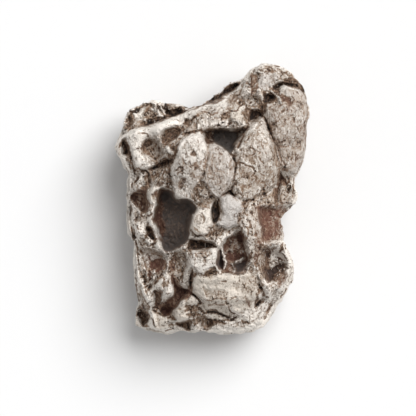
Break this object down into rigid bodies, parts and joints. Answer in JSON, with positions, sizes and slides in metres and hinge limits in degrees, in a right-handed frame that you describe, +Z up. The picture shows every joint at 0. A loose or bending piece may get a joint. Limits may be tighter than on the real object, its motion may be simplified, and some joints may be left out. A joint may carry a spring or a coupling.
{
  "type": "meteorite",
  "caption": "Rough iron meteorite with pale worn plates, deep pits, ledges and cracks, lying on its back on a small worn flat.",
  "frame": {"origin": "middle of the footprint, on the ground that the stone rests on", "axes": "+Z up out of the pitted crown, +Y along the stone towards its knob, +X across it"},
  "size_m": [0.0492, 0.068, 0.0286],
  "materials": {
    "weathered_iron": "matt, pale and worn on the plates, brown and rusty in the pits"
  },
  "bodies": {
    "root": {"meteorite": "weathered_iron"}
  },
  "joints": []
}
